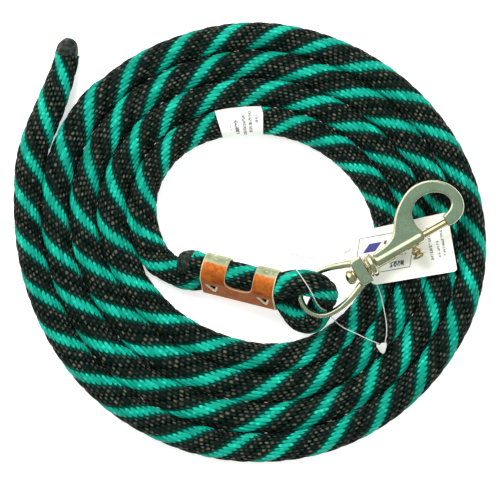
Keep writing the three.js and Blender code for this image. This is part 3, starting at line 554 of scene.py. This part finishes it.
def clamp_material():
    """Copper-brown face, grey-green rim on the +Y side, bright edges."""
    material, g = new_material("stamped_clamp")
    coords = g.coords()
    offset = g.node("VectorMath", operation="SUBTRACT")
    g.put(offset.inputs[0], coords)
    offset.inputs[1].default_value = tuple(CLAMP_START * MM)

    def distance_along(axis):
        """Millimetres from the clamp's start along an axis."""
        return g.dot(offset.outputs[0], tuple(axis * 1000))

    across = distance_along(np.array([0.23929, 0.97095, 0.0]))     # in plan, from its axis
    patches = g.noise(coords, scale=210, detail=5, rough=0.65)
    grain = g.noise(coords, scale=1100, detail=3, rough=0.6)
    ragged = g.muladd(patches, 2.6, g.sub(across, 1.3))
    face = g.ramp(patches, [(0.28, (0.22, 0.040, 0.010)), (0.42, (0.42, 0.092, 0.016)),
                            (0.56, (0.56, 0.170, 0.034)), (0.70, (0.30, 0.115, 0.030))])
    rim = g.ramp(patches, [(0.3, (0.26, 0.31, 0.20)), (0.55, (0.42, 0.46, 0.29)),
                           (0.75, (0.60, 0.58, 0.38))])
    # painted shade: a darker copy of the face colour, laid over the clamp's lower flat on its -Y
    # side
    shaded_low_face = g.ramp(patches, [(0.3, (0.17, 0.034, 0.008)), (0.5, (0.34, 0.075, 0.014)),
                                (0.68, (0.40, 0.12, 0.024))])
    # 0.05 and 0.5 map 10 mm either side of the axis to 0..1
    high = g.rise(g.muladd(ragged, 0.05, 0.5), 0.78, 0.84, "LINEAR")
    low = g.fall(g.muladd(across, 0.05, 0.5), 0.30, 0.46)
    color = g.mix(high, g.mix(g.mul(low, 0.75), face, shaded_low_face), rim)

    # bright edges: both mouths and the lower edges of two three-cornered holes
    upward, along = distance_along(CLAMP_UP), distance_along(CLAMP_AXIS)
    pointiness = g.node("NewGeometry").outputs["Pointiness"]
    edge = g.rise(pointiness, 0.505, 0.56, "LINEAR")
    mouth = 0.55

    def near_hole(hole_x, hole_z):
        dx = g.absolute(g.sub(along, hole_x))
        dz = g.absolute(g.sub(upward, hole_z))
        return g.mul(g.less(dx, 3.7), g.less(dz, 4.6))

    def hole_edge(hole_x, hole_z):
        """Band along the two sides, which close in from z 3.0 over 6.6 mm downwards."""
        x, z = g.sub(along, hole_x), g.sub(upward, hole_z)
        depth = g.divide(g.sub(z, 3.0), -6.6)
        first_side = g.muladd(depth, 4.08, -2.88)
        second_side = g.muladd(depth, -1.68, 2.88)
        outside = g.maximum(g.sub(first_side, x), g.sub(x, second_side))
        below_top = g.less(g.sub(z, 3.2), 0.0)
        return g.mul(g.less(outside, 1.15), g.mul(below_top, near_hole(hole_x, hole_z)))

    holes = g.maximum(hole_edge(6.6, 0.6), hole_edge(CLAMP_LENGTH - 6.8, 0.2))
    mouths = g.maximum(g.less(along, mouth), g.greater(along, CLAMP_LENGTH - mouth))
    bright = g.maximum(holes, mouths)
    color = g.mix(g.maximum(g.mul(edge, 0.8), g.mul(bright, 0.85)), color, (0.86, 0.78, 0.54))
    worn = g.bump(patches, strength=0.3, distance=0.0005)
    g.surface(Base_Color=color, Metallic=g.muladd(low, -0.42, 0.58), Specular_IOR_Level=0.04,
              Roughness=g.muladd(grain, 0.2, 0.32),
              Normal=g.bump(grain, strength=0.15, distance=0.0002, normal=worn))
    return material


def clear_plastic():
    material, g = new_material("clear_nylon")
    cloud = g.noise(g.coords(), scale=240)
    g.surface(Base_Color=g.ramp(cloud, [(0.3, (0.62, 0.66, 0.66)), (0.7, (0.82, 0.85, 0.84))]),
              Roughness=g.muladd(cloud, 0.15, 0.12), Transmission_Weight=0.35, IOR=1.5)
    return material


def card_material(name, marks, base, rough):
    """Printed card.

    marks: (x0, x1, y0, y1, colour, skew, broken) in the UV map 'print'; broken is the
    noise scale in x and y that cuts a mark into bits like lettering, or None.
    """
    material, g = new_material(name)
    print_x, print_y = g.uv("print")
    coords = g.coords()
    cloud = g.noise(coords, scale=60, detail=4)
    grain = g.noise(coords, scale=1500, detail=2)
    color = g.ramp(cloud, [(0.3, tuple(x * 0.95 for x in base)), (0.7, base)])
    for x0, x1, y0, y1, ink, skew, broken in marks:
        x = g.muladd(print_y, skew, print_x) if skew else print_x
        in_x = g.mul(g.greater(x, x0), g.less(x, x1))
        in_y = g.mul(g.greater(print_y, y0), g.less(print_y, y1))
        inside = g.mul(in_x, in_y)
        if broken:
            place = g.vector(g.mul(x, broken[0]), g.mul(print_y, broken[1]))
            inside = g.mul(inside, g.greater(g.noise(place, scale=1.0, detail=1), 0.47))
        color = g.mix(inside, color, ink)
    g.surface(Base_Color=color, Roughness=g.muladd(grain, 0.12, rough - 0.06),
              Normal=g.bump(grain, strength=0.08, distance=0.0001))
    return material


ROPE = rope_material()
MELTED = melted_material()
CASTING = metal_material(
    "plated_casting", [(0.60, 0.62, 0.46), (0.70, 0.70, 0.53), (0.80, 0.76, 0.58)],
    rough=0.18, edge_lightening=0.30)
TURNED = metal_material(
    "plated_turned", [(0.56, 0.47, 0.27), (0.74, 0.65, 0.42), (0.86, 0.78, 0.57)],
    rough=0.13, edge_lightening=0.25, scale=140)
SPRING_WIRE = metal_material(
    "spring_wire", [(0.45, 0.45, 0.44), (0.55, 0.55, 0.53), (0.66, 0.66, 0.64)],
    rough=0.22, edge_lightening=0.3, scale=300)
CLAMP = clamp_material()
CLEAR = clear_plastic()


# ------------------------------------------------------------------ rope pieces
LEAD_HALF, BEND_HALF = 13.0, 16      # half lengths of the rope pieces at the lead-in and the tail bend
TURN_PIECES = 5
TAPER_LENGTH, TAPER = 36, 0.19       # the tail narrows towards its fused end


def tail_taper(length):
    q = np.clip((length - (LAST - TAPER_LENGTH)) / TAPER_LENGTH, 0, 1)
    return 1 - TAPER * (q * q * (3 - 2 * q))


def tube(name, start, end, taper=None):
    """Closed braided tube between two path lengths; lattice coordinates in its UV map."""
    rings = max(2, int(round((end - start) / TUBE_STEP)) + 1)
    sides = COLUMNS * PER_COLUMN
    length = np.linspace(start, end, rings)
    centre, _, up, sideways = path_at(length)
    around = np.arange(sides) / PER_COLUMN
    along = braid_rows(length)
    profile = float_profile(along[:, None], around[None] + 1e-6)
    radius = (GROOVE_RADIUS + FLOAT_RISE * profile) * squeeze_at(centre)[:, None]
    if taper is not None:
        radius = radius * taper(length)[:, None]
    angle = around / COLUMNS * 2 * math.pi
    wide_out, wide_in = (np.interp(length, LENGTHS, STRETCH[:, k]) for k in (0, 1))
    outward = np.sign((sideways * (centre - COIL_CENTRE)).sum(1))
    sine, cosine = np.sin(angle)[None, :], np.cos(angle)[None, :]
    wide = np.where(sine * outward[:, None] > 0, wide_out[:, None], wide_in[:, None])
    high = 1 / np.sqrt((wide_out + wide_in) / 2)[:, None]
    points = centre[:, None, :] + radius[..., None] * (
        up[:, None, :] * (cosine * high)[..., None]
        + sideways[:, None, :] * (sine * wide)[..., None])

    near, far = np.repeat(along[:-1], sides), np.repeat(along[1:], sides)
    here = np.tile(around, rings - 1)
    beyond = here + 1 / PER_COLUMN
    uvs = np.stack([near, here, near, beyond, far, beyond, far, here], 1).reshape(-1, 2)
    # end caps as fans
    first_centre = rings * sides
    last_ring = (rings - 1) * sides
    caps, cap_uvs = [], []
    for j in range(sides):
        k = (j + 1) % sides
        caps += [(first_centre, k, j), (first_centre + 1, last_ring + j, last_ring + k)]
        cap_uvs += [[along[0], 0.5]] * 3 + [[along[-1], 0.5]] * 3
    return make_mesh(name, np.concatenate([points.reshape(-1, 3), centre[:1], centre[-1:]]),
                     grid_quads(rings - 1, sides) + caps, ROPE,
                     np.concatenate([uvs, np.array(cap_uvs)]))


def rope_piece(name, start, end, body, node=None, taper=None):
    register(tube(name, start, end, taper), body, node)


def rope_joint(name, middle, half, coil_side, other_side):
    """Tube from middle - half to middle + half, between the coil and another body, baked into
    world space.
    """
    piece = tube(name, middle - half, middle + half)
    start, end = path_at([coil_side, other_side])[0] * MM
    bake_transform(piece)


def fused_end(name, length, sign, radius, reach, seed, body, node):
    """Fused end: the braid's ridges run out into a lumpy, slightly domed plug."""
    centre, ahead, up, sideways = (rows[0] for rows in path_at(length))
    ahead = ahead * sign
    sunk = 1.2                       # depth of the plug's base inside the rope
    rings, sides = 22, 64
    angle = np.arange(sides) / sides * 2 * math.pi
    phase = np.random.default_rng(seed).uniform(0, 6.28, 8)
    rows = []
    for i in range(rings):
        q = i / (rings - 1)
        x = -sunk + (reach + sunk) * math.sin(q * math.pi / 2)
        dome = radius * max(0.0, math.cos(q * math.pi / 2)) ** 0.72
        ridge = 0.22 * np.sin(angle * 8 + 1.3 * q + phase[0]) * (1 - q) ** 1.2
        lump = (0.34 * np.sin(3 * angle + phase[1] + 4 * q)
                + 0.26 * np.sin(5 * angle + phase[2] - 6 * q)
                + 0.2 * np.sin(8 * angle + phase[3] + 9 * q))
        r = dome + (ridge + lump * min(1, q * 3)) * (dome / radius)
        x = x + 0.45 * np.sin(2 * angle + phase[4]) * q + 0.3 * np.sin(4 * angle + phase[5]) * q
        rows.append(centre + ahead * x[:, None] + up * (r * np.cos(angle))[:, None]
                    + sideways * (r * np.sin(angle))[:, None])
    points = np.concatenate(rows[:-1] + [rows[-1].mean(0)[None], (centre - ahead * sunk)[None]])
    faces = grid_quads(rings - 2, sides)
    apex = (rings - 1) * sides
    last_ring = apex - sides
    for j in range(sides):
        k = (j + 1) % sides
        faces += [(last_ring + j, last_ring + k, apex), (apex + 1, k, j)]
    if sign < 0:
        faces = [face[::-1] for face in faces]
    register(make_mesh(name, points, faces, MELTED), body, node)


rope_piece("rope_snap_leg", FIRST, -LEAD_HALF, "snap_end", "rope_snap_end")
rope_joint("rope_lead_in", 0.0, LEAD_HALF, 8.0, -8.0)
cuts = np.linspace(LEAD_HALF, TAIL_START - BEND_HALF, TURN_PIECES + 1)
for i in range(TURN_PIECES):
    rope_piece("rope_turn_%d" % (i + 1), cuts[i], cuts[i + 1], "coil",
               "rope_coil" if i == 0 else None)
rope_joint("rope_tail_bend", TAIL_START, BEND_HALF, TAIL_START - 11, TAIL_START + 11)
rope_piece("rope_tail_free", TAIL_START + BEND_HALF, LAST, "tail", "rope_tail", tail_taper)
fused_end("tail_fused_end", LAST - 0.4, sign=1, radius=6.50, reach=9.2, seed=3,
          body="tail", node="tail_melted_tip")
fused_end("short_fused_end", FIRST + 0.4, sign=-1, radius=7.55, reach=8.8, seed=5,
          body="snap_end", node="short_end_melted_tip")


# ------------------------------------------------- CAD pieces kept and softened
def coat(node, material):
    ob = bpy.data.objects[node]
    for slot in ob.material_slots:
        slot.material = material
    return ob


def soften(node, material, voxel, rounds):
    """Remesh a CAD piece at a voxel size and round its edges off."""
    ob = coat(node, material)
    even = ob.modifiers.new("even", "REMESH")
    even.mode = "VOXEL"
    even.voxel_size = (voxel * 1) * MM
    even.use_smooth_shade = True
    soft = ob.modifiers.new("soften", "SMOOTH")
    soft.factor = 0.5
    soft.iterations = rounds


def spring():
    """Round wire coil, baked into world space; its far end lies at the bolt, its near end in the
    barrel.
    """
    origin = np.array([26.1, -38.3, 27.8]) + COIL_CENTRE
    cos30 = math.cos(math.radians(30))
    axis_x, axis_y, axis_z = np.array([[cos30, 0.5, 0], [-0.5, cos30, 0], [0, 0, 1.0]])
    near, far, inset = 54.1, 68.6, 0.3           # ends of the spring's room along axis_x
    radius, wire, turns = 2.1, 0.29, 7
    steps, sides = 336, 10
    t = np.linspace(0, 1, steps + 1)
    turned = t * turns * 2 * math.pi
    centre = np.column_stack([near + inset + t * (far - near - 2 * inset),
                              radius * np.cos(turned), radius * np.sin(turned)])
    ahead = np.gradient(centre, axis=0)
    ahead /= np.linalg.norm(ahead, axis=1)[:, None]
    out = np.column_stack([np.zeros(steps + 1), np.cos(turned), np.sin(turned)])
    across = np.cross(ahead, out)
    across /= np.linalg.norm(across, axis=1)[:, None]
    angle = np.arange(sides) / sides * 2 * math.pi
    rings = centre[:, None] + wire * (out[:, None] * np.cos(angle)[None, :, None]
                                      + across[:, None] * np.sin(angle)[None, :, None])
    local = np.concatenate([rings.reshape(-1, 3), centre[:1], centre[-1:]])
    points = origin + local[:, :1] * axis_x + local[:, 1:2] * axis_y + local[:, 2:] * axis_z
    faces = [flipped(quad) for quad in grid_quads(steps, sides)]
    last_ring = steps * sides
    cap = last_ring + sides
    for j in range(sides):
        k = (j + 1) % sides
        faces += [(cap, j, k), (cap + 1, last_ring + k, last_ring + j)]
    ob = make_mesh("coiled_return_spring", points, faces, SPRING_WIRE)
    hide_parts("return_spring")
    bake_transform(ob)


def fastener_loop():
    ob = coat("tag_fastener_loop", CLEAR)
    ob.modifiers.new("join", "WELD").merge_threshold = 1e-6
    rounding = ob.modifiers.new("round", "SUBSURF")
    rounding.levels = rounding.render_levels = 2


# node, material, voxel size, smoothing rounds
for softened in (("hook_body", CASTING, 0.30, 5), ("swivel_eye", CASTING, 0.26, 5),
                 ("swivel_post", TURNED, 0.2, 4), ("swivel_washer", TURNED, 0.16, 3),
                 ("spring_bolt", TURNED, 0.2, 3), ("thumb_knob", TURNED, 0.16, 3),
                 ("rope_clamp", CLAMP, 0.28, 3)):
    soften(*softened)
spring()
soften("tag_fastener_head", CLEAR, 0.2, 4)
fastener_loop()


# ---------------------------------------------------------------- rope label
def rope_label():
    """Film wrapped over the innermost turn, from its outward side over the top."""
    start, end = (float(np.interp(angle, COIL_ANGLES, COIL_LENGTHS)) for angle in (72.8, 94.0))
    from_angle, to_angle = 18, 200   # round the rope: 0 outwards, 90 up
    radius, thickness = 8.28, 0.28
    bands = strips = 60
    outer, inner, print_xy = [], [], []
    for i in range(bands + 1):
        f = i / bands
        for j in range(strips + 1):
            h = j / strips
            angle = math.radians(from_angle + (to_angle - from_angle) * h)
            # set askew, with one corner pulled back
            corner = 1.3 * max(0, (f - 0.86) / 0.14) * max(0, 0.25 - h) * -4
            length = start + (end - start) * f + 1.6 * (h - 0.5) + corner
            centre, _, up, sideways = (rows[0] for rows in path_at(length))
            out = -sideways if np.dot(sideways, centre - COIL_CENTRE) < 0 else sideways
            # slight waves, and lifted ends
            r = (radius + 0.10 * math.sin(9 * f + 4 * h) + 0.07 * math.sin(17 * h + 3 * f)
                 + 0.12 * abs(2 * f - 1) ** 8)
            direction = out * math.cos(angle) + up * math.sin(angle)
            outer.append(centre + direction * (r + thickness / 2))
            inner.append(centre + direction * (r - thickness / 2))
            print_xy.append((f, h))
    columns = strips + 1
    last_row = bands * columns
    rims = []
    for i in range(bands):
        a, b = i * columns, (i + 1) * columns
        rims += [(a, b, False), (a + strips, b + strips, True)]
    for j in range(strips):
        rims += [(j, j + 1, True), (last_row + j, last_row + j + 1, False)]
    grey = (0.13, 0.135, 0.14)
    marks = [(0.345, 0.430, 0.36, 0.74, grey, 0.0, (26, 27)),
             (0.53, 0.60, 0.27, 0.90, grey, 0.0, (70, 24)),
             (0.67, 0.745, 0.18, 0.70, grey, 0.0, (70, 20)),
             (0.82, 0.88, 0.28, 0.47, grey, 0.0, (40, 30)),
             (0.23, 0.26, 0.42, 0.60, (0.45, 0.40, 0.43), 0.0, (40, 40))]
    film = card_material("label_film", marks, base=(0.88, 0.90, 0.89), rough=0.36)
    ob = make_sheet("printed_rope_label", np.array(outer + inner),
                    grid_quads(bands, columns, closed=False), rims, film, print_xy)
    register(ob, "coil", "rope_label")


rope_label()


# ------------------------------------------------------------------ hang tag
def tag_outline():
    """Five corners, rounded, with points about every 1.5 mm."""
    corners = np.array([[48.1, 2.3], [52.2, -10.4], [69, -26.1], [117.2, -18], [111.4, 16.2]])
    rounding, spacing = 2.2, 1.5
    ring = []
    for i, corner in enumerate(corners):
        before, after = corners[i - 1], corners[(i + 1) % len(corners)]
        q0 = corner + (before - corner) / np.linalg.norm(before - corner) * rounding
        q1 = corner + (after - corner) / np.linalg.norm(after - corner) * rounding
        for k in range(6):
            t = k / 5
            ring.append((1 - t) ** 2 * q0 + 2 * t * (1 - t) * corner + t * t * q1)
    dense = []
    for i, a in enumerate(ring):
        b = ring[(i + 1) % len(ring)]
        steps = max(1, int(np.linalg.norm(b - a) / spacing))
        dense += [a + (b - a) * k / steps for k in range(steps)]
    return np.array(dense)


def hang_tag():
    """Slightly bowed card with a round hole, sloping down towards +X."""
    hole_centre, hole_radius = np.array([56.3, -4.6]), 1.7
    half_thickness, bands = 0.17, 26
    outline = tag_outline()
    angle = np.arctan2(*(outline - hole_centre).T[::-1])
    hole = hole_centre + hole_radius * np.stack([np.cos(angle), np.sin(angle)], 1)
    xy = np.concatenate([hole + (outline - hole) * (i / bands) ** 0.9 for i in range(bands + 1)])
    x, y = xy[:, 0], xy[:, 1]
    bow = 0.25 * np.sin((x - 48) / 66 * math.pi) * 0.6 + 0.10 * np.sin(y / 7.0)
    bow = bow * np.clip(np.linalg.norm(xy - hole_centre, axis=1) / 20, 0, 1)
    height = np.clip(18.3 - 0.045 * (x - hole_centre[0]) + bow, 15.9, 30)
    points = np.concatenate([np.column_stack([xy, height + half_thickness]),
                             np.column_stack([xy, height - half_thickness])]) + COIL_CENTRE
    # print frame: origin at the corner near the eye, x along the long side
    origin = np.array([51.0, -9.0])
    print_xy = np.stack([(xy - origin) @ np.array([0.984, 0.178]),
                         (xy - origin) @ np.array([-0.178, 0.984])], 1)
    columns = len(outline)
    edge = bands * columns
    rims = []
    for j in range(columns):
        k = (j + 1) % columns
        rims += [(j, k, False), (edge + j, edge + k, True)]
    ink, blue, grey = (0.07, 0.08, 0.10), (0.055, 0.058, 0.26), (0.24, 0.25, 0.26)
    marks = [
        (8.3, 41.6, 7.6, 8.0, ink, -0.345, None), (8.3, 41.6, -13.4, -13.0, ink, -0.345, None),
        (8.3, 8.75, -13.4, 8.0, ink, -0.345, None), (41.2, 41.65, -13.4, 8.0, ink, -0.345, None),
        (12.2, 19.6, -0.9, 3.9, blue, -1.0, None), (23.0, 24.6, 2.2, 4.2, ink, -0.5, None),
        (27.6, 36.2, -11.7, -8.6, ink, -0.2, (1.2, 0.55)),
        (28.5, 36.0, -5.6, -4.5, grey, 0.0, (1.6, 0.5)),
        (49.9, 51.6, -12.0, 7.0, grey, 0.0, (0.5, 1.3)),
        (54.4, 55.8, -12.0, -1.5, grey, 0.0, (0.5, 1.5)),
        (57.4, 59.0, -10.5, 4.5, grey, 0.0, (0.5, 1.4)),
        (44.0, 45.0, -9.0, -4.0, grey, 0.0, (0.5, 1.6))]
    card = card_material("tag_card", marks, base=(0.90, 0.90, 0.86), rough=0.4)
    quads = [flipped(quad) for quad in grid_quads(bands, columns)]
    ob = make_sheet("printed_hang_tag", points, quads, rims, card, print_xy)
    ob.data.polygons.foreach_set("use_smooth", np.zeros(len(ob.data.polygons), bool))
    register(ob, "tag", "hang_tag")


hang_tag()


# ------------------------------------------------------- stage, light, camera
def floor():
    mesh = bpy.data.meshes.new("floor")
    half, z = 3, -0.0007
    mesh.from_pydata([(-half, -half, z), (half, -half, z), (half, half, z), (-half, half, z)],
                     [], [(0, 1, 2, 3)])
    ob = bpy.data.objects.new("floor", mesh)
    COLLECTION.objects.link(ob)
    material, g = new_material("floor_white")
    g.surface(Base_Color=(0.72, 0.72, 0.72), Roughness=0.9, Specular_IOR_Level=0.1,
              Emission_Color=WHITE, Emission_Strength=0.62)
    mesh.materials.append(material)


def area_light(name, place, size, power, color):
    """Rectangular light aimed at the origin, unseen in reflections."""
    light = bpy.data.lights.new(name, "AREA")
    light.shape = "RECTANGLE"
    light.size, light.size_y = size
    light.energy = power
    light.color = color
    ob = bpy.data.objects.new(name, light)
    COLLECTION.objects.link(ob)
    ob.location = place
    ob.rotation_euler = (Vector((0, 0, 0)) - Vector(place)).to_track_quat("-Z", "Y").to_euler()
    ob.visible_glossy = False


def studio_world(scene):
    """Green-grey overhead, a warm ring lower down and a bright patch towards -X +Y."""
    world = bpy.data.worlds.new("studio")
    scene.world = world
    world.use_nodes = True
    g = Graph(world.node_tree)
    coords = g.coords("Generated")
    parts = g.node("SeparateXYZ")
    g.put(parts.inputs[0], coords)
    sky = g.ramp(g.muladd(parts.outputs[2], 0.5, 0.5),
                 [(0.0, (0.30, 0.30, 0.28)), (0.50, (0.18, 0.16, 0.12)),
                  (0.62, (0.22, 0.20, 0.14)), (0.78, (0.56, 0.50, 0.38)),
                  (0.88, (0.36, 0.36, 0.27)), (0.955, (0.30, 0.47, 0.41)),
                  (1.0, (0.29, 0.48, 0.42))])
    glow = g.rise(g.dot(coords, (-0.434, 0.552, 0.712)), 0.76, 0.86)
    background = world.node_tree.nodes["Background"].inputs
    g.put(background["Color"], g.mix(g.mul(glow, 1.0), sky, (2.25, 2.15, 1.95)))
    g.put(background["Strength"], 0.75)


def camera(scene):
    """Looks straight down; the view is view_width wide at view_height above the floor."""
    distance, view_height, view_width = 3.0, 0.012, 0.290
    data = bpy.data.cameras.new("camera")
    ob = bpy.data.objects.new("camera", data)
    COLLECTION.objects.link(ob)
    data.sensor_width = 36
    data.lens = 36 * (distance - view_height) / view_width
    data.clip_end = 20
    ob.location = (0.00005, -0.0002, distance)
    scene.camera = ob


floor()
area_light("key", (-0.55, 0.75, 1.25), size=(0.7, 0.7), power=22, color=(1.0, 0.985, 0.96))
area_light("fill", (0.95, 0.25, 0.95), size=(0.8, 0.5), power=7, color=(0.96, 0.98, 1.0))
area_light("low", (0.1, -1.1, 0.7), size=(0.9, 0.35), power=5, color=(1.0, 1.0, 1.0))
scene = bpy.context.scene
studio_world(scene)
scene.view_settings.view_transform = "Standard"
scene.view_settings.look = "None"
scene.view_settings.exposure = 0.0
scene.view_settings.gamma = 1.0
camera(scene)
